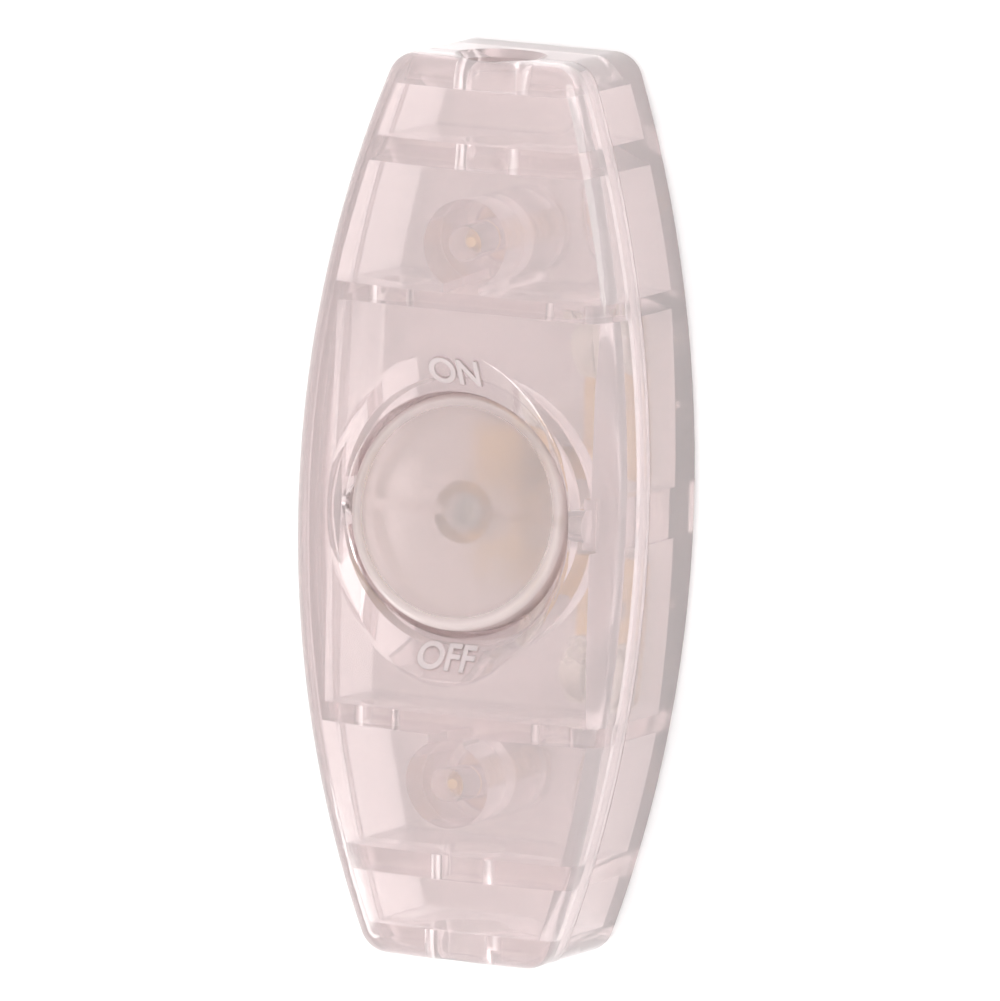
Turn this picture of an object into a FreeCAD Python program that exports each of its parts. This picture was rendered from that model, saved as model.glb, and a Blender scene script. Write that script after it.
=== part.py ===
"""An inline cord switch: two clear shells that close round a rocker, its see-saw contact and two terminals.

X runs along the cord towards the ON end, Y across the body and Z up through the rocker. The origin lies
on the underside, in the middle. All lengths are in millimetres and all angles in degrees. The rocker
stands with its ON end pressed.
"""
import FreeCAD, Part
import Sketcher
import math
import os
from types import SimpleNamespace

from FreeCAD import Placement, Rotation, Vector

SIZES = {
    # the body's outside
    "body_length": 72.0,
    "body_width": 28.6,
    "side_radius": 103.0,
    "body_height": 16.2,
    "crown_radius": 55.0,
    "arch_radius": 202.0,
    "seam_height": 8.6,
    "seam_gap": 0.1,
    "corner_radius": 2.5,
    "cover_edge_radius": 2.0,
    "base_edge_radius": 0.6,
    # the shells' walls
    "shell_wall": 1.4,
    "floor_thickness": 1.8,
    "end_wall": 2.6,
    "tongue_inset": 0.7,
    "tongue_height": 1.2,
    "tongue_play": 0.1,
    # the rooms inside
    "chamber_length": 32.0,
    "chamber_margin": 1.7,
    "chamber_roof": 12.4,
    "partition_wall": 1.5,
    "clamp_reach": 27.2,
    "clamp_wall": 2.0,
    # where the cord and its wires pass
    "cord_bore": 6.2,
    "cord_mouth_flare": 0.6,
    "clamp_bore": 5.2,
    "wire_notch": 3.8,
    "wire_notch_offset": 7.4,
    # the posts and their screws
    "post_spacing": 42.9,
    "post_diameter": 7.1,
    "post_web": 3.0,
    "screw_diameter": 2.6,
    "screw_play": 0.1,
    "screw_head_diameter": 5.0,
    "screw_head_height": 1.8,
    "screw_head_side": 1.1,
    "screw_recess": 2.4,
    "screw_length": 10.0,
    "screw_taper": 2.0,
    "screw_point": 0.8,
    "slot_width": 0.8,
    "slot_depth": 0.9,
    # the rocker and its seat
    "rocker_diameter": 19.0,
    "rocker_play": 0.3,
    "pivot_height": 12.0,
    "rocker_rise": 1.9,
    "rocker_skirt": 1.7,
    "rocker_wall": 1.6,
    "rocker_web": 0.8,
    "rocker_face": 1.5,
    "rocker_face_dish": 0.5,
    "rocker_rim": 1.0,
    "rocker_rim_radius": 0.5,
    "rocker_tilt": 7.0,
    "trunnion_diameter": 2.4,
    "trunnion_length": 1.2,
    "trunnion_play": 0.08,
    "dish_end_slope": 28.0,
    "dish_side_slope": 65.0,
    "dish_edge_radius": 0.5,
    "collar_wall": 1.6,
    "collar_drop": 1.4,
    "bearer_width": 4.0,
    # the stem, the plunger and its spring
    "stem_diameter": 5.0,
    "stem_drop": 4.6,
    "stem_bore": 3.2,
    "plunger_diameter": 3.0,
    "plunger_length": 4.4,
    "plunger_tip_drop": 6.4,
    "spigot_height": 0.6,
    "spring_wire": 0.3,
    "spring_coil": 2.5,
    "spring_turns": 4.0,
    # the see-saw and the contact strips
    "seat_gap": 0.05,
    "strip_thickness": 0.8,
    "strip_width": 5.2,
    "strip_corner": 0.6,
    "seesaw_height": 5.05,
    "seesaw_reach": 6.6,
    "seesaw_width": 4.4,
    "seesaw_thickness": 0.7,
    "seesaw_tilt": 5.5,
    "seesaw_pin": 1.2,
    "seesaw_pin_play": 0.06,
    "upright_gap": 6.0,
    "upright_width": 3.2,
    "upright_rise": 0.6,
    "bend_radius": 0.4,
    "bend_relief": 0.4,
    "bridge_width": 2.4,
    "finger_width": 3.2,
    "contact_reach": 5.4,
    "contact_diameter": 2.6,
    "contact_dome": 0.6,
    "contact_shank": 1.4,
    "rivet_tail_width": 2.0,
    "rivet_tail_height": 0.2,
    "contact_gap": 0.1,
    "terminal_reach": 12.6,
    "terminal_offset": 6.6,
    "terminal_end": 15.0,
    "terminal_screw": 3.0,
    "terminal_head_diameter": 5.0,
    "terminal_head_height": 1.8,
    "terminal_head_side": 1.1,
    "terminal_tip_chamfer": 0.2,
    "tip_room_floor": 0.6,
    "tip_room_play": 0.3,
    "washer_thickness": 0.8,
    "peg_diameter": 1.8,
    "peg_reach": 7.6,
    # how far a cutting shape runs past what it cuts
    "overcut": 1.0,
}


class Size:
    """A length or an angle that carries the formula which binds a property to the sheet."""

    def __init__(self, value, formula):
        self.value = value
        self.formula = formula

    def __add__(self, other):
        other = as_size(other)
        return Size(self.value + other.value, f"({self.formula} + {other.formula})")

    def __sub__(self, other):
        other = as_size(other)
        return Size(self.value - other.value, f"({self.formula} - {other.formula})")

    def __mul__(self, other):
        other = as_size(other)
        return Size(self.value * other.value, f"({self.formula} * {other.formula})")

    def __truediv__(self, other):
        other = as_size(other)
        return Size(self.value / other.value, f"({self.formula} / {other.formula})")

    def __neg__(self):
        return Size(-self.value, f"(0 - {self.formula})")


def as_size(number):
    """A Size as it is, or a plain number as a Size."""
    if isinstance(number, Size):
        return number
    return Size(float(number), f"({float(number):.6f})")


def tangent(angle):
    return Size(math.tan(math.radians(angle.value)), f"tan({angle.formula} * 1 deg)")


def sine(angle):
    return Size(math.sin(math.radians(angle.value)), f"sin({angle.formula} * 1 deg)")


def cosine(angle):
    return Size(math.cos(math.radians(angle.value)), f"cos({angle.formula} * 1 deg)")


doc = FreeCAD.newDocument("inline_cord_switch")
sheet = doc.addObject("Spreadsheet::Sheet", "Sizes")
for row, (alias, number) in enumerate(SIZES.items(), start=1):
    sheet.set(f"A{row}", str(number))
    sheet.setAlias(f"A{row}", alias)
doc.recompute()
s = SimpleNamespace(**{alias: Size(number, f"Sizes.{alias}") for alias, number in SIZES.items()})

TURN = {"x": Rotation(Vector(0, 1, 0), 90), "y": Rotation(Vector(1, 0, 0), -90), "z": Rotation()}
# two places closer than this are the same place
SAME = 0.001


def put(piece, x=0, y=0, z=0, turn=Rotation()):
    """Places a piece, with each coordinate bound to the sheet."""
    piece.Placement = Placement(Vector(), turn)
    for axis, where in zip("xyz", (x, y, z)):
        piece.setExpression(f"Placement.Base.{axis}", as_size(where).formula)
    return piece


def tilt(piece, z, angle):
    """Places a piece at a height on the middle of the body, turned about the cross axis."""
    piece.Placement = Placement(Vector(), Rotation(Vector(0, 1, 0), angle.value))
    piece.setExpression("Placement.Base.z", z.formula)
    piece.setExpression("Placement.Rotation.Angle", angle.formula)
    return piece


def box(name, x, y, z):
    """A block between two limits on each axis."""
    block = doc.addObject("Part::Box", name)
    for side, (low, high) in zip(("Length", "Width", "Height"), (x, y, z)):
        block.setExpression(side, (as_size(high) - low).formula)
    return put(block, x[0], y[0], z[0])


def rod(name, diameter, start, length, along="z"):
    """A round bar that starts at a point and runs along one axis."""
    bar = doc.addObject("Part::Cylinder", name)
    bar.setExpression("Radius", (as_size(diameter) / 2).formula)
    bar.setExpression("Height", as_size(length).formula)
    return put(bar, *start, turn=TURN[along])


def flare(name, first, last, start, length, along="z"):
    """A cone whose diameter runs from first to last."""
    cone = doc.addObject("Part::Cone", name)
    cone.setExpression("Radius1", (as_size(first) / 2).formula)
    cone.setExpression("Radius2", (as_size(last) / 2).formula)
    cone.setExpression("Height", as_size(length).formula)
    return put(cone, *start, turn=TURN[along])


def oval_flare(name, radius, reach, z, height):
    """A flare from a circle up to an oval with its long and short reach along X and Y."""
    circle = doc.addObject("Part::Circle", name + "_circle")
    circle.setExpression("Radius", radius.formula)
    oval = doc.addObject("Part::Ellipse", name + "_oval")
    oval.setExpression("MajorRadius", reach[0].formula)
    oval.setExpression("MinorRadius", reach[1].formula)
    ruled = doc.addObject("Part::Loft", name)
    ruled.Sections = [put(circle, 0, 0, z), put(oval, 0, 0, z + height)]
    ruled.Solid = True
    ruled.Ruled = True
    return ruled


def ball(name, radius, z):
    """A sphere on the upright axis."""
    sphere = doc.addObject("Part::Sphere", name)
    sphere.setExpression("Radius", as_size(radius).formula)
    return put(sphere, 0, 0, z)


def joined(name, *pieces):
    whole = doc.addObject("Part::MultiFuse", name)
    whole.Shapes = list(pieces)
    whole.Refine = True
    return whole


def cut(name, base, *tools):
    """The base with the tools taken out of it."""
    piece = doc.addObject("Part::Cut", name)
    piece.Base = base
    piece.Tool = tools[0] if len(tools) == 1 else joined(name + "_tools", *tools)
    piece.Refine = True
    return piece


def shared(name, first, *others):
    """What all of the shapes have in common."""
    for number, other in enumerate(others, start=1):
        overlap = doc.addObject("Part::Common", name if number == len(others) else f"{name}_{number}")
        overlap.Base = first
        overlap.Tool = other
        overlap.Refine = True
        first = overlap
    return first


def rounded(name, base, radius, wanted):
    """The base with the edges that are wanted rounded off."""
    doc.recompute()
    edges = [number for number, edge in enumerate(base.Shape.Edges, start=1) if wanted(edge)]
    piece = doc.addObject("Part::Fillet", name)
    piece.Base = base
    piece.Edges = [(number, radius.value, radius.value) for number in edges]
    return piece


def is_upright(edge):
    return edge.BoundBox.XLength < SAME and edge.BoundBox.YLength < SAME


def both_ends(near, far):
    """The two stretches between near and far from the middle, at the ON end and at the OFF end."""
    return (("front", (near, far)), ("rear", (-far, -near)))


def new_sketch(body, name, role):
    """A sketch on one of the body's own origin planes."""
    sketch = body.newObject("Sketcher::SketchObject", name)
    plane = next(item for item in body.Origin.OriginFeatures if item.Role == role)
    sketch.AttachmentSupport = [(plane, "")]
    sketch.MapMode = "FlatFace"
    return sketch


def hold(sketch, geometry, point, x, y):
    """Fixes a point of the sketch at two sizes from the sketch's origin."""
    for kind, size in (("DistanceX", as_size(x)), ("DistanceY", as_size(y))):
        number = sketch.addConstraint(Sketcher.Constraint(kind, -1, 1, geometry, point, size.value))
        sketch.setExpression(f"Constraints[{number}]", size.formula)


def outline(sketch, corners):
    """A closed outline through the corners. One marked "dome" starts an arc centred on the upright axis."""
    points = [Vector(as_size(corner[0]).value, as_size(corner[1]).value, 0) for corner in corners]
    count = len(corners)
    domes = []
    for number, corner in enumerate(corners):
        start = points[number]
        end = points[(number + 1) % count]
        if corner[2:] == ("dome",):
            domes.append(number)
            centre = (end.x ** 2 + end.y ** 2 - start.x ** 2 - start.y ** 2) / (2 * (end.y - start.y))
            angles = [math.atan2(point.y - centre, point.x) for point in (start, end)]
            radius = math.hypot(start.x, start.y - centre)
            circle = Part.Circle(Vector(0, centre, 0), Vector(0, 0, 1), radius)
            sketch.addGeometry(Part.ArcOfCircle(circle, min(angles), max(angles)))
        else:
            sketch.addGeometry(Part.LineSegment(start, end))
    falling = {number for number in domes if points[(number + 1) % count].y < points[number].y}
    for number in range(count):
        after = (number + 1) % count
        end_point = 1 if number in falling else 2
        start_point = 2 if after in falling else 1
        sketch.addConstraint(Sketcher.Constraint("Coincident", number, end_point, after, start_point))
    for number, corner in enumerate(corners):
        hold(sketch, number, 2 if number in falling else 1, corner[0], corner[1])
    for number in domes:
        sketch.addConstraint(Sketcher.Constraint("PointOnObject", number, 3, -2))


def turned(name, corners):
    """A piece turned about the upright axis, from its half outline as (radius, height) corners."""
    body = doc.addObject("PartDesign::Body", name)
    sketch = new_sketch(body, name + "_profile", "XZ_Plane")
    outline(sketch, corners)
    doc.recompute()
    turning = body.newObject("PartDesign::Revolution", name + "_turning")
    turning.Profile = sketch
    turning.ReferenceAxis = (sketch, ["V_Axis"])
    turning.Angle = 360
    sketch.Visibility = False
    doc.recompute()
    return body


def padded_strip(name, corners, thickness, holes):
    """A flat strip blanked from sheet, with rounded corners and with holes given as (x, y, diameter)."""
    body = doc.addObject("PartDesign::Body", name)
    blank = new_sketch(body, name + "_blank", "XY_Plane")
    outline(blank, corners)
    pad = body.newObject("PartDesign::Pad", name + "_sheet")
    pad.Profile = blank
    pad.setExpression("Length", thickness.formula)
    doc.recompute()
    edges = enumerate(pad.Shape.Edges, start=1)
    upright = [f"Edge{number}" for number, edge in edges if edge.BoundBox.ZLength > thickness.value / 2]
    trimmed = body.newObject("PartDesign::Fillet", name + "_corners")
    trimmed.Base = (pad, upright)
    trimmed.setExpression("Radius", s.strip_corner.formula)
    punches = new_sketch(body, name + "_punches", "XY_Plane")
    for number, (x, y, diameter) in enumerate(holes):
        centre = Vector(as_size(x).value, as_size(y).value, 0)
        punches.addGeometry(Part.Circle(centre, Vector(0, 0, 1), diameter.value / 2))
        hold(punches, number, 3, x, y)
        size = punches.addConstraint(Sketcher.Constraint("Diameter", number, diameter.value))
        punches.setExpression(f"Constraints[{size}]", diameter.formula)
    doc.recompute()
    punched = body.newObject("PartDesign::Pocket", name + "_punched")
    punched.Profile = punches
    punched.Type = "ThroughAll"
    punched.Reversed = True
    doc.recompute()
    if punched.Shape.Volume >= trimmed.Shape.Volume:
        raise ValueError(f"{name}: the holes were not cut")
    return body


half_length = s.body_length / 2
half_width = s.body_width / 2
side_offset = s.side_radius - half_width
seam_top = s.seam_height + s.seam_gap / 2
seam_bottom = s.seam_height - s.seam_gap / 2
chamber_x = (-(s.chamber_length / 2), s.chamber_length / 2)
chamber_side = s.rocker_diameter / 2 + s.chamber_margin
chamber_y = (-chamber_side, chamber_side)
opening = s.rocker_diameter + s.rocker_play * 2
trunnion_reach = s.rocker_diameter / 2 + s.trunnion_length
dish_floor = s.pivot_height + s.rocker_rise
post_reach = s.post_spacing / 2
floor = s.floor_thickness


def barrel(name, inset, low, high):
    """The plan of the body between two heights, with bowed sides, drawn in by inset all round."""
    reach = half_length - inset
    block = box(name + "_block", (-reach, reach), (-half_width, half_width), (low, high))
    radius = s.side_radius - inset
    left = rod(name + "_left", radius * 2, (0, -side_offset, low), high - low)
    right = rod(name + "_right", radius * 2, (0, side_offset, low), high - low)
    return shared(name, block, left, right)


def crown(name, inset):
    """A ring about the cross axis whose top is the cover's: arched along the body, crowned across it."""
    ring = doc.addObject("Part::Torus", name)
    ring.setExpression("Radius1", (s.arch_radius - s.crown_radius).formula)
    ring.setExpression("Radius2", (s.crown_radius - inset).formula)
    return put(ring, 0, 0, s.body_height - s.arch_radius, TURN["y"])


def tongue(name, play, low, high):
    """The ring that runs round the seam: the base's tongue, or with some play the cover's groove."""
    outer = barrel(name + "_outer", s.tongue_inset - play, low, high)
    inner = barrel(name + "_inner", s.shell_wall + play, low - s.overcut, high + s.overcut)
    return cut(name, outer, inner)


def rooms(name, hollow, low, high):
    """The rooms past the switch chamber at both ends, two with a screw post webbed to the partition."""
    blocks = []
    posts = []
    screw_room = both_ends(s.chamber_length / 2 + s.partition_wall, s.clamp_reach)
    end_room = both_ends(s.clamp_reach + s.clamp_wall, half_length - s.end_wall)
    for kind, stretches in (("screw", screw_room), ("end", end_room)):
        for end, stretch in stretches:
            blocks.append(box(f"{name}_{kind}_{end}", stretch, (-half_width, half_width), (low, high)))
    tall = (low - s.overcut, high + s.overcut)
    for end, x in (("front", post_reach), ("rear", -post_reach)):
        posts.append(rod(f"{name}_post_{end}", s.post_diameter, (x, 0, tall[0]), tall[1] - tall[0]))
    for end, stretch in both_ends(s.chamber_length / 2, post_reach):
        posts.append(box(f"{name}_web_{end}", stretch, (-(s.post_web / 2), s.post_web / 2), tall))
    open_rooms = shared(name + "_open", hollow, joined(name + "_blocks", *blocks))
    return cut(name, open_rooms, *posts)


def wire_ways(name):
    """The round ways along the seam: wire notches, clamp bores and flared cord bores, at both ends."""
    ways = []
    z = s.seam_height
    notch_start = s.chamber_length / 2 - s.overcut
    notch_length = s.partition_wall + s.overcut * 2
    clamp_start = s.clamp_reach - s.overcut
    clamp_length = s.clamp_wall + s.overcut * 2
    cord_start = half_length - s.end_wall - s.overcut
    cord_length = s.end_wall + s.overcut * 2
    spans = [("cord", s.cord_bore, 0, cord_start, cord_length),
             ("clamp", s.clamp_bore, 0, clamp_start, clamp_length),
             ("live", s.wire_notch, -s.wire_notch_offset, notch_start, notch_length),
             ("through", s.wire_notch, s.wire_notch_offset, notch_start, notch_length)]
    for kind, diameter, y, start, length in spans:
        ways.append(rod(f"{name}_{kind}_front", diameter, (start, y, z), length, "x"))
        ways.append(rod(f"{name}_{kind}_rear", diameter, (-(start + length), y, z), length, "x"))
    wide = s.cord_bore + s.cord_mouth_flare * 2
    front = (half_length - s.cord_mouth_flare, 0, z)
    ways.append(flare(name + "_mouth_front", s.cord_bore, wide, front, s.cord_mouth_flare, "x"))
    rear = (-half_length, 0, z)
    ways.append(flare(name + "_mouth_rear", wide, s.cord_bore, rear, s.cord_mouth_flare, "x"))
    return ways


def make_cover():
    """The upper shell: arched, with an oval finger dish round the rocker and seats for its trunnions."""
    plan = barrel("cover_plan", as_size(0), seam_top, s.body_height)
    blank = shared("cover_blank", plan, crown("cover_crown", as_size(0)))
    corners = rounded("cover_corners", blank, s.corner_radius, is_upright)
    shell = rounded("cover_shoulder", corners, s.cover_edge_radius,
                    lambda edge: edge.BoundBox.ZMin > seam_top.value + SAME)

    low = seam_top - s.overcut
    inside = barrel("cover_inside", s.shell_wall, low, s.body_height)
    hollow = shared("cover_hollow", inside, crown("cover_inner_crown", s.shell_wall))
    end_rooms = rooms("cover_rooms", hollow, low, s.body_height)
    chamber = box("cover_chamber", chamber_x, chamber_y, (low, s.chamber_roof))
    collar_base = s.chamber_roof - s.collar_drop
    collar_width = opening + s.collar_wall * 2
    collar = rod("cover_collar", collar_width, (0, 0, collar_base), s.collar_drop + s.overcut)
    chamber = cut("cover_chamber_round_collar", chamber, collar)

    dish_rise = s.body_height - dish_floor + s.overcut
    dish_length = opening / 2 + dish_rise / tangent(s.dish_end_slope)
    dish_width = opening / 2 + dish_rise / tangent(s.dish_side_slope)
    dish = oval_flare("cover_dish", opening / 2, (dish_length, dish_width), dish_floor, dish_rise)
    hole = rod("cover_opening", opening, (0, 0, low), dish_floor - low + s.overcut)

    seats = []
    seat_diameter = s.trunnion_diameter + s.trunnion_play * 2
    inner = opening / 2 - s.overcut
    outer = trunnion_reach + s.trunnion_play
    for side, start, y in (("left", inner, (inner, outer)), ("right", -outer, (-outer, -inner))):
        root = (0, start, s.pivot_height)
        seats.append(rod(f"cover_seat_{side}", seat_diameter, root, outer - inner, "y"))
        x = (-(seat_diameter / 2), seat_diameter / 2)
        seats.append(box(f"cover_slot_{side}", x, y, (low, s.pivot_height)))

    pilots = []
    pilot = s.screw_diameter + s.screw_play * 2
    tip = s.screw_recess + s.screw_length + s.overcut
    for end, x in (("front", post_reach), ("rear", -post_reach)):
        pilots.append(rod(f"cover_pilot_{end}", pilot, (x, 0, low), tip - low))
    groove = tongue("cover_groove", s.tongue_play, low, seam_top + s.tongue_height + s.tongue_play)
    ways = wire_ways("cover_ways")
    opened = cut("cover_shell", shell, end_rooms, chamber, dish, hole, groove, *seats, *pilots, *ways)

    def on_dish_rim(edge):
        point = edge.valueAt((edge.FirstParameter + edge.LastParameter) / 2)
        climb = (point.z - dish_floor.value) / dish_rise.value
        along = opening.value / 2 * (1 - climb) + dish_length.value * climb
        across = opening.value / 2 * (1 - climb) + dish_width.value * climb
        on_slope = abs(math.hypot(point.x / along, point.y / across) - 1) < SAME
        return on_slope and edge.BoundBox.ZMin > dish_floor.value + SAME

    return rounded("cover_rim", opened, s.dish_edge_radius, on_dish_rim)


def make_base():
    """The lower shell: flat-bottomed, with the tongue, the trunnions' bearers and the strips' pegs."""
    blank = barrel("base_plan", as_size(0), as_size(0), seam_bottom)
    corners = rounded("base_corners", blank, s.corner_radius, is_upright)
    shell = rounded("base_foot", corners, s.base_edge_radius, lambda edge: edge.BoundBox.ZMax < SAME)

    high = seam_bottom + s.overcut
    hollow = barrel("base_inside", s.shell_wall, floor, high)
    end_rooms = rooms("base_rooms", hollow, floor, high)
    chamber = box("base_chamber", chamber_x, chamber_y, (floor, high))

    ridge = tongue("base_tongue", as_size(0), seam_bottom - s.overcut / 2, seam_bottom + s.tongue_height)
    hollowed = cut("base_hollowed", joined("base_with_tongue", shell, ridge), end_rooms, chamber)

    additions = []
    bearer_x = (-(s.bearer_width / 2), s.bearer_width / 2)
    bearer_top = s.pivot_height - s.trunnion_diameter / 2 - s.trunnion_play
    inner = opening / 2 + s.trunnion_play
    middle = chamber_side - s.rocker_play
    outer = chamber_side
    left = ("left", (inner, middle), (inner, outer))
    right = ("right", (-middle, -inner), (-outer, -inner))
    for side, free, fixed in (left, right):
        additions.append(box(f"base_bearer_{side}", bearer_x, free, (floor, bearer_top)))
        additions.append(box(f"base_bearer_root_{side}", bearer_x, fixed, (floor, seam_bottom)))
    peg_height = s.seat_gap + s.strip_thickness * 2
    for end, x in (("front", s.peg_reach), ("rear", -s.peg_reach)):
        additions.append(rod(f"base_peg_{end}", s.peg_diameter, (x, -s.terminal_offset, floor), peg_height))

    takings = wire_ways("base_ways")
    recess = s.screw_head_diameter + s.screw_play * 4
    hole = s.screw_diameter + s.screw_play * 2
    for end, x in (("front", post_reach), ("rear", -post_reach)):
        takings.append(rod(f"base_recess_{end}", recess, (x, 0, -s.overcut), s.screw_recess + s.overcut))
        takings.append(rod(f"base_hole_{end}", hole, (x, 0, 0), high))
    tip_room = s.terminal_screw + s.screw_play * 4
    for end, x in (("front", s.terminal_reach), ("rear", -s.terminal_reach)):
        start = (x, -s.terminal_offset, s.tip_room_floor)
        takings.append(rod(f"base_tip_room_{end}", tip_room, start, floor))
    return cut("base_shell", joined("base_fitted", hollowed, *additions), *takings)


def make_rocker():
    """The rocker: a disc with a ball-shaped rim, a dished face, two trunnions and a hollow stem."""
    rim = ball("rocker_ball", s.rocker_diameter / 2, 0)
    height = s.rocker_rise + s.rocker_skirt
    slab = rod("rocker_slab", s.rocker_diameter + s.overcut, (0, 0, -s.rocker_skirt), height)
    disc = rounded("rocker_disc", shared("rocker_round", rim, slab), s.rocker_rim_radius,
                   lambda edge: edge.BoundBox.ZMin > s.rocker_rise.value - SAME)
    face_span = s.rocker_diameter / 2 - s.rocker_rim
    dish = s.rocker_face_dish
    bowl_radius = (face_span * face_span + dish * dish) / (dish * 2)
    bowl = ball("rocker_bowl", bowl_radius, s.rocker_rise - dish + bowl_radius)
    under = s.rocker_rise - s.rocker_face
    cup_width = s.rocker_diameter - s.rocker_wall * 2
    cup_drop = s.rocker_skirt + s.overcut
    cup = rod("rocker_cup", cup_width, (0, 0, -cup_drop), cup_drop + under)
    dished = cut("rocker_dished", disc, bowl, cup)

    stem = rod("rocker_stem", s.stem_diameter, (0, 0, -s.stem_drop), s.stem_drop + under)
    web_x = (-(s.rocker_web / 2), s.rocker_web / 2)
    web = box("rocker_web", web_x, (-(cup_width / 2), cup_width / 2), (-s.rocker_skirt, under))
    inner = s.rocker_diameter / 2 - s.rocker_wall / 2
    stub = trunnion_reach - inner
    left = rod("rocker_trunnion_left", s.trunnion_diameter, (0, inner, 0), stub, "y")
    right = rod("rocker_trunnion_right", s.trunnion_diameter, (0, -trunnion_reach, 0), stub, "y")
    solid = joined("rocker_solid", dished, stem, web, left, right)
    bore_drop = s.stem_drop + s.overcut
    bore = rod("rocker_bore", s.stem_bore, (0, 0, -bore_drop), bore_drop + under)
    return tilt(cut("rocker_piece", solid, bore), s.pivot_height, s.rocker_tilt)


def make_plunger():
    """The round-nosed plunger that the spring pushes out of the stem."""
    radius = s.plunger_diameter / 2
    tip = -s.plunger_tip_drop
    top = tip + s.plunger_length
    spigot = s.spring_coil / 2 - s.spring_wire
    shoulder = top - s.spigot_height
    corners = [(0, tip + radius), (0, tip, "dome"), (radius, tip + radius), (radius, shoulder),
               (spigot, shoulder), (spigot, top), (0, top)]
    return tilt(turned("plunger_body", corners), s.pivot_height, s.rocker_tilt)


def make_spring():
    """The coil spring between the plunger's shoulder and the end of the stem's bore."""
    start = s.plunger_length - s.plunger_tip_drop - s.spigot_height + s.spring_wire / 2 + s.seat_gap
    end = s.rocker_rise - s.rocker_face - s.spring_wire / 2 - s.seat_gap
    coil = doc.addObject("Part::Helix", "spring_coil")
    coil.setExpression("Radius", ((s.spring_coil - s.spring_wire) / 2).formula)
    coil.setExpression("Height", (end - start).formula)
    coil.setExpression("Pitch", ((end - start) / s.spring_turns).formula)
    put(coil, 0, 0, start)
    wire = doc.addObject("Part::Circle", "spring_wire")
    wire.setExpression("Radius", (s.spring_wire / 2).formula)
    put(wire, (s.spring_coil - s.spring_wire) / 2, 0, start, Rotation(Vector(1, 0, 0), 90))
    doc.recompute()
    wound = doc.addObject("Part::Sweep", "spring_wound")
    wound.Sections = [wire]
    wound.Spine = (coil, ["Edge1"])
    wound.Solid = True
    wound.Frenet = True
    return tilt(wound, s.pivot_height, s.rocker_tilt)


def make_seesaw():
    """The brass see-saw: a strip with a pin end at each side, holed for its rivet."""
    half = s.seesaw_thickness / 2
    reach = (-s.seesaw_reach, s.seesaw_reach)
    width = (-(s.seesaw_width / 2), s.seesaw_width / 2)
    strip = box("seesaw_strip", reach, width, (-half, half))
    root = s.seesaw_width / 2 - s.seesaw_thickness / 2
    tip = s.upright_gap / 2 + s.strip_thickness
    left = rod("seesaw_pin_left", s.seesaw_pin, (0, root, 0), tip - root, "y")
    right = rod("seesaw_pin_right", s.seesaw_pin, (0, -tip, 0), tip - root, "y")
    hole_width = s.contact_shank + s.seat_gap * 2
    hole = rod("seesaw_hole", hole_width, (-s.contact_reach, 0, -s.overcut), s.overcut * 2)
    solid = cut("seesaw_piece", joined("seesaw_solid", strip, left, right), hole)
    return tilt(solid, s.seesaw_height, -s.seesaw_tilt)


def make_moving_rivet():
    """The silver rivet in the see-saw, with its dome down."""
    half = s.seesaw_thickness / 2
    under = -(half + s.seat_gap)
    over = half + s.seat_gap
    tail = s.rivet_tail_width / 2
    shank = s.contact_shank / 2
    end = over + s.rivet_tail_height
    corners = [(0, under - s.contact_dome, "dome"), (s.contact_diameter / 2, under), (shank, under),
               (shank, over), (tail, over), (tail, end), (0, end)]
    rivet = turned("moving_rivet_body", corners)
    tilt(rivet, s.seesaw_height - sine(s.seesaw_tilt) * s.contact_reach, -s.seesaw_tilt)
    rivet.setExpression("Placement.Base.x", (-(cosine(s.seesaw_tilt) * s.contact_reach)).formula)
    return rivet


def make_fixed_rivet():
    """The silver rivet in the load strip, with its dome just under the closed see-saw's."""
    bottom = floor + s.seat_gap
    seat = bottom + s.strip_thickness + s.seat_gap
    drop = cosine(s.seesaw_tilt) * (s.seesaw_thickness / 2 + s.seat_gap + s.contact_dome)
    top = s.seesaw_height - sine(s.seesaw_tilt) * s.contact_reach - drop - s.contact_gap
    edge = top - s.contact_dome
    shank = s.contact_shank / 2
    wide = s.contact_diameter / 2
    corners = [(0, bottom), (shank, bottom), (shank, seat), (wide, seat), (wide, edge, "dome"), (0, top)]
    return put(turned("fixed_rivet_body", corners), -s.contact_reach)


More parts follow.
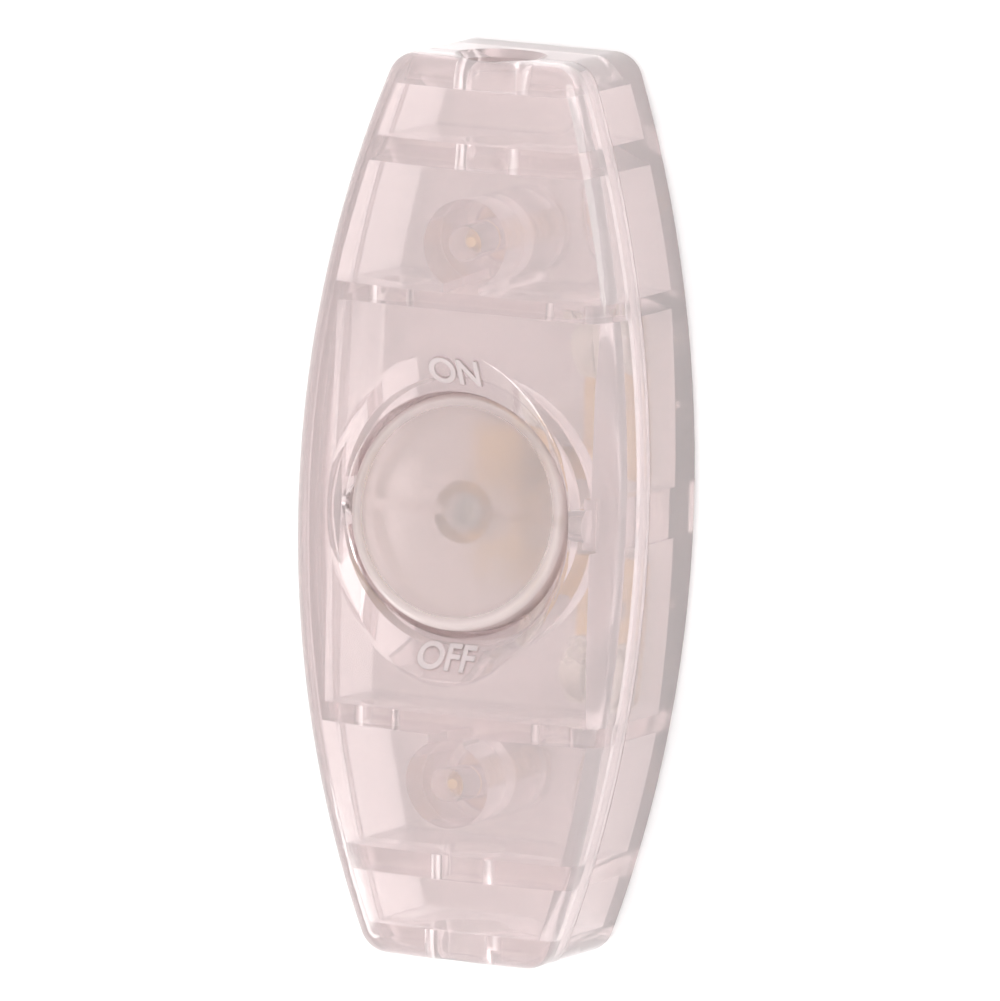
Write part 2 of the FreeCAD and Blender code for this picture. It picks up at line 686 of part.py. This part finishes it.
def make_line_terminal():
    """The line strip. The saddle at its inner end carries the see-saw's pins in two notched uprights."""
    gap = s.upright_gap / 2
    side = gap + s.strip_thickness
    inner = s.upright_width / 2
    flat = gap - s.bend_radius
    lower = -(s.terminal_offset + s.strip_width / 2)
    upper = lower + s.strip_width
    neck = inner + s.bend_relief
    shoulder = neck + s.bridge_width
    corners = [(0, -flat), (neck, -flat), (neck, lower), (s.terminal_end, lower), (s.terminal_end, upper),
               (shoulder, upper), (shoulder, flat), (0, flat)]
    screw_hole = (s.terminal_reach, -s.terminal_offset, s.terminal_screw + s.seat_gap * 2)
    peg_hole = (s.peg_reach, -s.terminal_offset, s.peg_diameter + s.screw_play * 2)
    strip = padded_strip("line_strip", corners, s.strip_thickness, [screw_hole, peg_hole])
    bottom = floor + s.seat_gap
    put(strip, 0, 0, bottom)
    top = s.seesaw_height + s.upright_rise
    sheet_top = bottom + s.strip_thickness
    block = box("line_saddle_block", (-inner, inner), (-side, side), (bottom, top))
    room_x = (-(inner + s.overcut), inner + s.overcut)
    room = box("line_saddle_room", room_x, (-gap, gap), (sheet_top, top + s.overcut))
    folded = cut("line_saddle_folded", block, room)

    def along_bend(edge, z):
        around = edge.BoundBox
        return abs(around.Center.z - z.value) < SAME and around.YLength < SAME

    outer_radius = s.bend_radius + s.strip_thickness
    bent = rounded("line_outer_bend", folded, outer_radius, lambda edge: along_bend(edge, bottom))
    saddle = rounded("line_inner_bend", bent, s.bend_radius, lambda edge: along_bend(edge, sheet_top))
    notch = s.seesaw_pin + s.seesaw_pin_play * 2
    start = (0, -(side + s.overcut), s.seesaw_height)
    seat = rod("line_seat", notch, start, (side + s.overcut) * 2, "y")
    long_y = (-(side + s.overcut), side + s.overcut)
    throat = box("line_throat", (-(notch / 2), notch / 2), long_y, (s.seesaw_height, top + s.overcut))
    return cut("line_piece", joined("line_solid", strip, saddle), seat, throat)


def make_load_terminal():
    """The load strip, with a finger that reaches under the see-saw for the fixed rivet."""
    lower = -(s.terminal_offset + s.strip_width / 2)
    upper = lower + s.strip_width
    end = s.finger_width / 2
    near = -(s.contact_reach - end)
    far = -(s.contact_reach + end)
    start = -s.terminal_end
    corners = [(start, lower), (near, lower), (near, end), (far, end), (far, upper), (start, upper)]
    screw_hole = (-s.terminal_reach, -s.terminal_offset, s.terminal_screw + s.seat_gap * 2)
    peg_hole = (-s.peg_reach, -s.terminal_offset, s.peg_diameter + s.screw_play * 2)
    rivet_hole = (-s.contact_reach, as_size(0), s.contact_shank + s.seat_gap * 2)
    strip = padded_strip("load_strip", corners, s.strip_thickness, [screw_hole, peg_hole, rivet_hole])
    return put(strip, 0, 0, floor + s.seat_gap)


def slotted(name, screw, head_diameter, z):
    """A turned screw with a driver slot cut across its head, between the two heights in z."""
    half = head_diameter / 2 + s.overcut
    width = s.slot_width / 2
    return cut(name, screw, box(name + "_slot", (-half, half), (-width, width), z))


def make_terminal_screw(end, x):
    """A binding screw with a low domed head, through its washer and strip into the tip room in the base."""
    seat = floor + s.seat_gap * 3 + s.strip_thickness + s.washer_thickness
    tip = s.tip_room_floor + s.tip_room_play
    shank = s.terminal_screw / 2
    head = s.terminal_head_diameter / 2
    side = seat + s.terminal_head_side
    top = seat + s.terminal_head_height
    chamfer = s.terminal_tip_chamfer
    corners = [(0, tip), (shank - chamfer, tip), (shank, tip + chamfer), (shank, seat),
               (head, seat), (head, side, "dome"), (0, top)]
    screw = turned(f"{end}_binding", corners)
    slot = (top - s.slot_depth, top + s.overcut)
    piece = slotted(f"{end}_binding_slotted", screw, s.terminal_head_diameter, slot)
    return put(piece, x, -s.terminal_offset)


def make_wire_washer(end, x):
    """The square washer that clamps a wire end on the strip."""
    half = s.strip_width / 2
    corners = [(-half, -half), (half, -half), (half, half), (-half, half)]
    hole = (as_size(0), as_size(0), s.terminal_screw + s.screw_play * 2)
    washer = padded_strip(f"{end}_washer", corners, s.washer_thickness, [hole])
    return put(washer, x, -s.terminal_offset, floor + s.seat_gap * 2 + s.strip_thickness)


def make_housing_screw(end, x):
    """A self-tapping screw driven up through the base's post into the cover's."""
    seat = s.screw_recess - s.seat_gap
    bottom = seat - s.screw_head_height
    side = seat - s.screw_head_side
    tip = s.screw_recess + s.screw_length
    shank = s.screw_diameter / 2
    head = s.screw_head_diameter / 2
    taper = tip - s.screw_taper
    corners = [(0, bottom, "dome"), (head, side), (head, seat), (shank, seat), (shank, taper),
               (s.screw_point / 2, tip), (0, tip)]
    screw = turned(f"{end}_housing", corners)
    slot = (bottom - s.overcut, bottom + s.slot_depth)
    piece = slotted(f"{end}_housing_slotted", screw, s.screw_head_diameter, slot)
    return put(piece, x)


parts = {
    "cover": make_cover(),
    "base": make_base(),
    "rocker_button": make_rocker(),
    "plunger": make_plunger(),
    "plunger_spring": make_spring(),
    "seesaw_contact": make_seesaw(),
    "moving_rivet": make_moving_rivet(),
    "line_terminal": make_line_terminal(),
    "load_terminal": make_load_terminal(),
    "fixed_rivet": make_fixed_rivet(),
    "line_terminal_screw": make_terminal_screw("line", s.terminal_reach),
    "load_terminal_screw": make_terminal_screw("load", -s.terminal_reach),
    "line_wire_washer": make_wire_washer("line", s.terminal_reach),
    "load_wire_washer": make_wire_washer("load", -s.terminal_reach),
    "front_housing_screw": make_housing_screw("front", post_reach),
    "rear_housing_screw": make_housing_screw("rear", -post_reach),
}
doc.recompute()

for feature in doc.Objects:
    if "Invalid" in feature.State or "Error" in feature.State:
        raise ValueError(f"{feature.Name} could not be made: {feature.State}")

os.makedirs("parts", exist_ok=True)
for label, piece in parts.items():
    piece.Label = label
    shape = piece.Shape
    if shape.isNull() or not shape.isValid() or len(shape.Solids) != 1:
        raise ValueError(f"{label} is not one valid solid: {len(shape.Solids)} solids")
    shape.exportStep(f"parts/{label}.step")
    print(label, round(shape.Volume, 2))
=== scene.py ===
"""Dresses the inline cord switch: clear rose-tinted shells over brass contacts, on a pale studio floor."""
import math

import bmesh
import bpy
from mathutils import Matrix, Vector
from mathutils.bvhtree import BVHTree


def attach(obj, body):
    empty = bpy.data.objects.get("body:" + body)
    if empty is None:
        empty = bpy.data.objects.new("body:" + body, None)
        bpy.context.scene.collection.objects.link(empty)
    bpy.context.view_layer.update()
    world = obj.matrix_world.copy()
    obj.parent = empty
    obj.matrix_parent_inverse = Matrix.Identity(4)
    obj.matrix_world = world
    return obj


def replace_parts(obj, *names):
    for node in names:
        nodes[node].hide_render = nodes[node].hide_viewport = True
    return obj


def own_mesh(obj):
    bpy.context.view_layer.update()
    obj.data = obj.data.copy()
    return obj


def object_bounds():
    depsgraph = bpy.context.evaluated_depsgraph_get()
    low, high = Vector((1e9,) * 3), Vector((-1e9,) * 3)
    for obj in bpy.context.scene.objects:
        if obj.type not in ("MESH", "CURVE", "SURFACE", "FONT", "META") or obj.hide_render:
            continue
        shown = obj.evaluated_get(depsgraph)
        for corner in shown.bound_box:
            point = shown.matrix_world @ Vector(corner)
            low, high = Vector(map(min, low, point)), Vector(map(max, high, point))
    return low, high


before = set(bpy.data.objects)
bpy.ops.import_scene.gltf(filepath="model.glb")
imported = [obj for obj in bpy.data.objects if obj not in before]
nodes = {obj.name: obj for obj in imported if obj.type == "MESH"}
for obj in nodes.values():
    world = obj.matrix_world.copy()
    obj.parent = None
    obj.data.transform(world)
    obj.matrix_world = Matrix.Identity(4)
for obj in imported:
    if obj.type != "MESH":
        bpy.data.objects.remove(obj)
cad_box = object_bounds()

MM = 0.001

# corners of a mesh that are closer than this are one corner, in millimetres
SAME_CORNER = 0.001

# the housing screws, in millimetres
POST_REACH = 21.45
SCREW_SEAT = 2.35
SCREW_TAPER = 10.4
SCREW_CREST = 1.3
SCREW_CORE = 0.95
SCREW_POINT = 0.4
THREAD_START = 3.0
THREAD_END = 11.9
THREAD_PITCH = 1.05

# the rocker: its pivot, and how far from it the face ends and the rim begins
ROCKER_PIVOT = Vector((0.0, 0.0, 12.0))
FACE_END = 8.4
RIM_START = 9.1

# the raised words: their places along the body, how far they stand out of the dish and reach into it,
# and their soft edges
ON_MIDDLE = 11.4
OFF_MIDDLE = -11.3
WORD_HEIGHT = 2.0
WORD_RISE = 0.16
WORD_ROOT = 0.05
WORD_BEVEL = 0.04
WORD_BOLDER = 0.03
CAPITAL_SHARE = 0.7

# how deep the reliefs in the finishes are, in millimetres
MELT_WAVE = 0.05
FINE_GRAIN = 0.01

# a grain that runs no one way
EVEN = (1.0, 1.0, 1.0)

# the photograph's view: towards the camera, up in the picture and to its right, and what lies in its middle
TOWARDS_CAMERA = Vector((0.1481, -0.4314, 0.8899))
PICTURE_UP = Vector((0.9884, 0.0948, -0.1185))
PICTURE_RIGHT = Vector((0.0333, -0.8972, -0.4404))
BODY_MIDDLE = Vector((0.0, 0.0, 8.0))
MIDDLE_RIGHT = 0.784
MIDDLE_UP = 0.360
PICTURE_MIDDLE = BODY_MIDDLE + PICTURE_RIGHT * MIDDLE_RIGHT + PICTURE_UP * MIDDLE_UP
PICTURE_WIDTH = 79.05
CAMERA_DISTANCE = 1600.0
SENSOR = 36.0


def linear(hex_colour):
    """An sRGB hex colour as linear values with full alpha."""
    values = [int(hex_colour[i:i + 2], 16) / 255 for i in (1, 3, 5)]
    return [v / 12.92 if v <= 0.04045 else ((v + 0.055) / 1.055) ** 2.4 for v in values] + [1.0]


def add(tree, kind, values=None, links=None, **settings):
    """Adds a node with its settings, its sockets' values and the links into it."""
    made = tree.nodes.new(kind)
    for name, value in settings.items():
        setattr(made, name, value)
    for socket, value in (values or {}).items():
        made.inputs[socket].default_value = value
    for socket, source in (links or {}).items():
        tree.links.new(source, made.inputs[socket])
    return made


def new_material(name):
    """An empty material and its node tree."""
    material = bpy.data.materials.new(name)
    material.use_nodes = True
    material.node_tree.nodes.clear()
    return material, material.node_tree


def per_metre(size_mm):
    """The texture scale that repeats about once every size_mm."""
    return 1.0 / (size_mm * MM)


def clear_plastic(name, tint, density, body, clearness, roughness, ripple_mm, ripple):
    """Clear moulded styrene, rose-tinted: see-through and softly shiny, with faint waves from the melt."""
    material, tree = new_material(name)
    place = add(tree, "ShaderNodeTexCoord")
    flow = add(tree, "ShaderNodeTexNoise",
               {"Scale": per_metre(ripple_mm), "Detail": 0.0},
               {"Vector": place.outputs["Object"]})
    wave = add(tree, "ShaderNodeBump", {"Strength": ripple, "Distance": MELT_WAVE * MM},
               {"Height": flow.outputs["Fac"]})
    shader = add(tree, "ShaderNodeBsdfPrincipled",
                 {"Base Color": linear(body), "Roughness": roughness, "IOR": 1.52,
                  "Transmission Weight": clearness},
                 {"Normal": wave.outputs["Normal"]})
    tinted = add(tree, "ShaderNodeVolumeAbsorption", {"Color": linear(tint), "Density": density})
    add(tree, "ShaderNodeOutputMaterial", None,
        {"Surface": shader.outputs["BSDF"], "Volume": tinted.outputs["Volume"]})
    return material


def polished_rim_painted_highlight(material, roughness, clearness):
    """Makes the rocker's rim smoother than its satin face, and milkier: the milkier rim is a painted
    highlight, a pale ring in place of the light the polished rim catches.
    """
    tree = material.node_tree
    shader = tree.nodes["Principled BSDF"]
    place = tree.nodes["Texture Coordinate"]
    reach = add(tree, "ShaderNodeVectorMath", {1: ROCKER_PIVOT * MM}, {0: place.outputs["Object"]},
                operation="DISTANCE")
    # the rim's lower clearness is a painted highlight; its lower roughness is the real polish
    for socket, rim in (("Roughness", roughness), ("Transmission Weight", clearness)):
        entry = shader.inputs[socket]
        fade = add(tree, "ShaderNodeMapRange",
                   {"From Min": FACE_END * MM, "From Max": RIM_START * MM,
                    "To Min": entry.default_value, "To Max": rim},
                   {"Value": reach.outputs["Value"]})
        tree.links.new(fade.outputs["Result"], entry)


def worn_metal(name, light, dark, roughness, grain_mm, stretch, bump):
    """A metal finish: two tones that wander over the piece, and lines from its rolling, drawing or plating.

    The real lines are some hundredths of a millimetre apart, and are drawn coarser so that they show.
    """
    material, tree = new_material(name)
    place = add(tree, "ShaderNodeTexCoord")
    along = add(tree, "ShaderNodeMapping", {"Scale": stretch}, {"Vector": place.outputs["Object"]})
    lines = add(tree, "ShaderNodeTexNoise", {"Scale": per_metre(grain_mm), "Detail": 3.0},
                {"Vector": along.outputs["Vector"]})
    patches = add(tree, "ShaderNodeTexNoise", {"Scale": per_metre(3.0), "Detail": 3.0},
                  {"Vector": place.outputs["Object"]})
    tone = add(tree, "ShaderNodeMix", {"A": linear(light), "B": linear(dark)},
               {"Factor": patches.outputs["Fac"]}, data_type="RGBA")
    sheen = add(tree, "ShaderNodeMapRange", {"To Min": roughness * 0.8, "To Max": roughness * 1.25},
                {"Value": patches.outputs["Fac"]})
    relief = add(tree, "ShaderNodeBump", {"Strength": bump, "Distance": FINE_GRAIN * MM},
                 {"Height": lines.outputs["Fac"]})
    shader = add(tree, "ShaderNodeBsdfPrincipled", {"Metallic": 1.0},
                 {"Base Color": tone.outputs["Result"], "Roughness": sheen.outputs["Result"],
                  "Normal": relief.outputs["Normal"]})
    add(tree, "ShaderNodeOutputMaterial", None, {"Surface": shader.outputs["BSDF"]})
    return material


def natural_nylon():
    """Moulded natural nylon: creamy, with a faint inner glow. Its matt skin is drawn coarser, to show."""
    material, tree = new_material("moulded_natural_nylon")
    place = add(tree, "ShaderNodeTexCoord")
    skin = add(tree, "ShaderNodeTexNoise", {"Scale": per_metre(0.15), "Detail": 3.0},
               {"Vector": place.outputs["Object"]})
    relief = add(tree, "ShaderNodeBump", {"Strength": 0.2, "Distance": FINE_GRAIN * MM},
                 {"Height": skin.outputs["Fac"]})
    shader = add(tree, "ShaderNodeBsdfPrincipled",
                 {"Base Color": linear("#E9DFCB"), "Roughness": 0.45, "IOR": 1.53, "Subsurface Weight": 0.3,
                  "Subsurface Radius": (0.8, 0.6, 0.4), "Subsurface Scale": 0.001},
                 {"Normal": relief.outputs["Normal"]})
    add(tree, "ShaderNodeOutputMaterial", None, {"Surface": shader.outputs["BSDF"]})
    return material


def plain_floor():
    """White card: an even, dull white that takes a soft shadow."""
    material, tree = new_material("white_card_floor")
    shader = add(tree, "ShaderNodeBsdfPrincipled", {"Base Color": linear("#F7F6F6"), "Roughness": 0.9})
    add(tree, "ShaderNodeOutputMaterial", None, {"Surface": shader.outputs["BSDF"]})
    return material


def dress(material, *names):
    """Gives CAD nodes a finish."""
    for name in names:
        piece = nodes[name]
        for place in piece.material_slots:
            place.material = material


def new_piece(name, mesh, material, body):
    """A finished piece at the origin that rides on a body."""
    mesh.materials.clear()
    mesh.materials.append(material)
    piece = bpy.data.objects.new(name, mesh)
    bpy.context.scene.collection.objects.link(piece)
    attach(piece, body)
    return piece


def tidy_mesh(made, mesh):
    """Merges the doubled corners of a mesh under work, turns its faces outwards and writes it back."""
    bmesh.ops.remove_doubles(made, verts=made.verts, dist=SAME_CORNER * MM)
    bmesh.ops.recalc_face_normals(made, faces=made.faces)
    made.to_mesh(mesh)
    made.free()
    return mesh


def raised_word(name, word, middle, material):
    """Raised lettering that lies on the slope of the dish, upright when the ON end is up."""
    solid = nodes["cover"].data
    cover = BVHTree.FromPolygons([v.co for v in solid.vertices], [p.vertices for p in solid.polygons])
    curve = bpy.data.curves.new(name, "FONT")
    curve.body = word
    curve.size = WORD_HEIGHT / CAPITAL_SHARE
    curve.align_x = "CENTER"
    curve.align_y = "CENTER"
    curve.extrude = (WORD_RISE + WORD_ROOT) / 2
    curve.bevel_depth = WORD_BEVEL
    curve.bevel_resolution = 2
    curve.offset = WORD_BOLDER
    source = bpy.data.objects.new(name + "_source", curve)
    bpy.context.scene.collection.objects.link(source)
    mesh = bpy.data.meshes.new_from_object(source.evaluated_get(bpy.context.evaluated_depsgraph_get()))
    bpy.data.objects.remove(source)
    overhead = cad_box[1][2] * 2
    for vertex in mesh.vertices:
        across, up, out = vertex.co
        above = Vector(((middle + up) * MM, -across * MM, overhead))
        place = cover.ray_cast(above, Vector((0.0, 0.0, -1.0)))[0]
        vertex.co = place + Vector((0.0, 0.0, out + (WORD_RISE - WORD_ROOT) / 2)) * MM
    made = bmesh.new()
    made.from_mesh(mesh)
    mesh.name = name
    return new_piece(name, tidy_mesh(made, mesh), material, "housing")


def thread_group():
    """A thread: a sharp ridge wound up round the upright axis from one radius to another."""
    group = bpy.data.node_groups.new("screw_thread", "GeometryNodeTree")
    group.interface.new_socket("Thread", in_out="OUTPUT", socket_type="NodeSocketGeometry")
    for name in ("Turns", "Start Radius", "End Radius", "Height", "Depth"):
        group.interface.new_socket(name, in_out="INPUT", socket_type="NodeSocketFloat")
    group.interface.new_socket("Start", in_out="INPUT", socket_type="NodeSocketVector")
    group.interface.new_socket("Finish", in_out="INPUT", socket_type="NodeSocketMaterial")
    asked = add(group, "NodeGroupInput").outputs
    path = add(group, "GeometryNodeCurveSpiral", {"Resolution": 36, "Reverse": True},
               {"Rotations": asked["Turns"], "Start Radius": asked["Start Radius"],
                "End Radius": asked["End Radius"], "Height": asked["Height"]})
    level = add(group, "GeometryNodeSetCurveNormal", None, {"Curve": path.outputs["Curve"]}, mode="Z_UP")
    ridge = add(group, "GeometryNodeCurvePrimitiveCircle", {"Resolution": 4}, {"Radius": asked["Depth"]})
    wound = add(group, "GeometryNodeCurveToMesh", {"Fill Caps": True},
                {"Curve": level.outputs["Curve"], "Profile Curve": ridge.outputs["Curve"]})
    placed = add(group, "GeometryNodeTransform", None,
                 {"Geometry": wound.outputs["Mesh"], "Translation": asked["Start"]})
    real = add(group, "GeometryNodeRealizeInstances", None, {"Geometry": placed.outputs["Geometry"]})
    finished = add(group, "GeometryNodeSetMaterial", None,
                   {"Geometry": real.outputs["Geometry"], "Material": asked["Finish"]})
    add(group, "NodeGroupOutput", None, {"Thread": finished.outputs["Geometry"]})
    return group


def wound_thread(group, material, radii, heights, x):
    """One stretch of thread as a mesh, between two radii and two heights."""
    climb = heights[1] - heights[0]
    source = bpy.data.objects.new("thread_source", bpy.data.meshes.new("thread_source"))
    bpy.context.scene.collection.objects.link(source)
    winder = source.modifiers.new("thread", "NODES")
    winder.node_group = group
    values = {"Turns": climb / THREAD_PITCH, "Start Radius": radii[0] * MM, "End Radius": radii[1] * MM,
              "Height": climb * MM, "Depth": (SCREW_CREST - SCREW_CORE) * MM,
              "Start": (x * MM, 0.0, heights[0] * MM), "Finish": material}
    for item in group.interface.items_tree:
        if item.in_out == "INPUT":
            winder[item.identifier] = values[item.name]
    mesh = bpy.data.meshes.new_from_object(source.evaluated_get(bpy.context.evaluated_depsgraph_get()))
    source.modifiers.remove(winder)
    bpy.data.objects.remove(source)
    return mesh


def merged_copy(name):
    """A copy of a solid's mesh to work on, with its loose triangles joined."""
    made = bmesh.new()
    made.from_mesh(nodes[name].data)
    bmesh.ops.remove_doubles(made, verts=made.verts, dist=SAME_CORNER * MM)
    return made


def pressed_spring(name, material):
    """The plunger's spring, joined into one copy that rides on the rocker. The real spring shortens as the
    plunger goes in; this copy keeps its length.
    """
    mesh = tidy_mesh(merged_copy(name), bpy.data.meshes.new(name + "_coil"))
    coil = new_piece(name + "_coil", mesh, material, "rocker")
    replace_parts(coil, name)
    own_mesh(coil)


def threaded_screw(name, x, group, material):
    """The solid screw with its plain shank drawn in to a core, and a thread wound round core and point."""
    near = 0.03
    made = merged_copy(name)
    for vertex in made.verts:
        across = Vector((vertex.co.x - x * MM, vertex.co.y, 0.0))
        if vertex.co.z > (SCREW_SEAT - near) * MM and abs(across.length - SCREW_CREST * MM) < near * MM:
            vertex.co -= across * (1.0 - SCREW_CORE / SCREW_CREST)
    straight = ((SCREW_CORE, SCREW_CORE), (THREAD_START, SCREW_TAPER))
    pointed = ((SCREW_CORE, SCREW_POINT), (SCREW_TAPER, THREAD_END))
    for radii, heights in (straight, pointed):
        made.from_mesh(wound_thread(group, material, radii, heights, x))
    mesh = tidy_mesh(made, bpy.data.meshes.new(name + "_threaded"))
    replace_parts(new_piece(name + "_threaded", mesh, material, "housing"), name)


def add_camera():
    """The photograph's camera: nearly square on to the rocker, from the right, with the ON end up."""
    data = bpy.data.cameras.new("photo_camera")
    data.sensor_width = SENSOR
    data.lens = SENSOR * CAMERA_DISTANCE / PICTURE_WIDTH
    data.clip_start = 0.01
    data.clip_end = 20.0
    camera = bpy.data.objects.new("photo_camera", data)
    turn = Matrix((PICTURE_RIGHT, PICTURE_UP, TOWARDS_CAMERA)).transposed()
    camera.matrix_world = turn.to_4x4()
    camera.location = (PICTURE_MIDDLE + TOWARDS_CAMERA * CAMERA_DISTANCE) * MM
    bpy.context.scene.collection.objects.link(camera)
    bpy.context.scene.camera = camera


def add_lamp(name, location, size, power):
    """A large soft lamp aimed at the switch."""
    data = bpy.data.lights.new(name, "AREA")
    data.shape = "DISK"
    data.size = size
    data.energy = power
    lamp = bpy.data.objects.new(name, data)
    lamp.location = location
    lamp.rotation_euler = (-Vector(location)).to_track_quat("-Z", "Y").to_euler()
    bpy.context.scene.collection.objects.link(lamp)


def add_studio():
    """A white floor and an even white sky, with soft lamps at the picture's lower left and upper right."""
    mesh = bpy.data.meshes.new("studio_floor")
    reach = 3.0
    level = -0.05 * MM
    signs = ((-1, -1), (1, -1), (1, 1), (-1, 1))
    corners = [(x * reach, y * reach, level) for x, y in signs]
    mesh.from_pydata(corners, [], [(0, 1, 2, 3)])
    mesh.materials.append(plain_floor())
    floor = bpy.data.objects.new("studio_floor", mesh)
    bpy.context.scene.collection.objects.link(floor)
    world = bpy.data.worlds.new("studio_sky")
    world.use_nodes = True
    world.node_tree.nodes.clear()
    sky = add(world.node_tree, "ShaderNodeBackground", {"Color": (1.0, 1.0, 1.0, 1.0), "Strength": 1.28})
    add(world.node_tree, "ShaderNodeOutputWorld", None, {"Surface": sky.outputs["Background"]})
    bpy.context.scene.world = world
    add_lamp("left_lamp", location=(-0.35, 0.5, 0.35), size=0.25, power=1.4)
    add_lamp("right_lamp", location=(0.35, -0.6, 0.3), size=0.5, power=2.0)


def set_light_paths():
    """Plain tones, and enough bounces for light to cross both shells and the rocker."""
    bpy.context.scene.view_settings.view_transform = "Standard"
    bpy.context.scene.cycles.max_bounces = 18
    bpy.context.scene.cycles.transmission_bounces = 18
    bpy.context.scene.cycles.diffuse_bounces = 2
    bpy.context.scene.cycles.blur_glossy = 0.0


# the shells are polished, the rocker's face is satin, and the letters are satin and milkier,
# so that they read
shell_plastic = clear_plastic("clear_moulded_styrene", tint="#F0D8D6", density=36.0, body="#F9F0F0",
                              clearness=0.79, roughness=0.09, ripple_mm=4.0, ripple=0.25)
rocker_plastic = clear_plastic("satin_moulded_styrene", tint="#EDD9D6", density=48.0, body="#F4E9E7",
                               clearness=0.76, roughness=0.32, ripple_mm=2.5, ripple=0.3)
# the rocker's polished rim, made milkier as a painted highlight: a pale ring in place of the light it
# catches
polished_rim_painted_highlight(rocker_plastic, roughness=0.12, clearness=0.58)
letter_plastic = clear_plastic("satin_moulded_lettering", tint="#F0D8D6", density=30.0, body="#F9F0F0",
                               clearness=0.66, roughness=0.25, ripple_mm=0.6, ripple=0.3)
# brass is warm yellow with lines along the strip, silver pale and soft, nickel a faintly yellow grey,
# yellow zinc gold with a rosy cast, and spring wire a plain dark grey
brass = worn_metal("rolled_brass_strip", "#D9B46A", "#B98E48",
                   roughness=0.3, grain_mm=0.12, stretch=(0.08, 1.0, 1.0), bump=0.25)
silver = worn_metal("headed_silver_alloy", "#E6E4DF", "#C9C6C0",
                    roughness=0.22, grain_mm=0.2, stretch=EVEN, bump=0.1)
nickel = worn_metal("nickel_plated_steel", "#CFC8BC", "#B3AC9F",
                    roughness=0.28, grain_mm=0.15, stretch=EVEN, bump=0.15)
zinc = worn_metal("yellow_passivated_zinc", "#D8B868", "#C09A76",
                  roughness=0.32, grain_mm=0.2, stretch=EVEN, bump=0.15)
spring_wire = worn_metal("drawn_spring_wire", "#9C9A97", "#7F7D7A",
                         roughness=0.3, grain_mm=0.1, stretch=EVEN, bump=0.1)

dress(shell_plastic, "cover", "base")
dress(rocker_plastic, "rocker_button")
dress(brass, "seesaw_contact", "line_terminal", "load_terminal")
dress(silver, "moving_rivet", "fixed_rivet")
dress(nickel, "line_terminal_screw", "load_terminal_screw", "line_wire_washer", "load_wire_washer")
dress(natural_nylon(), "plunger")

raised_word("on_lettering", "ON", ON_MIDDLE, letter_plastic)
raised_word("off_lettering", "OFF", OFF_MIDDLE, letter_plastic)
pressed_spring("plunger_spring", spring_wire)
thread = thread_group()
threaded_screw("front_housing_screw", POST_REACH, thread, zinc)
threaded_screw("rear_housing_screw", -POST_REACH, thread, zinc)

add_camera()
add_studio()
set_light_paths()
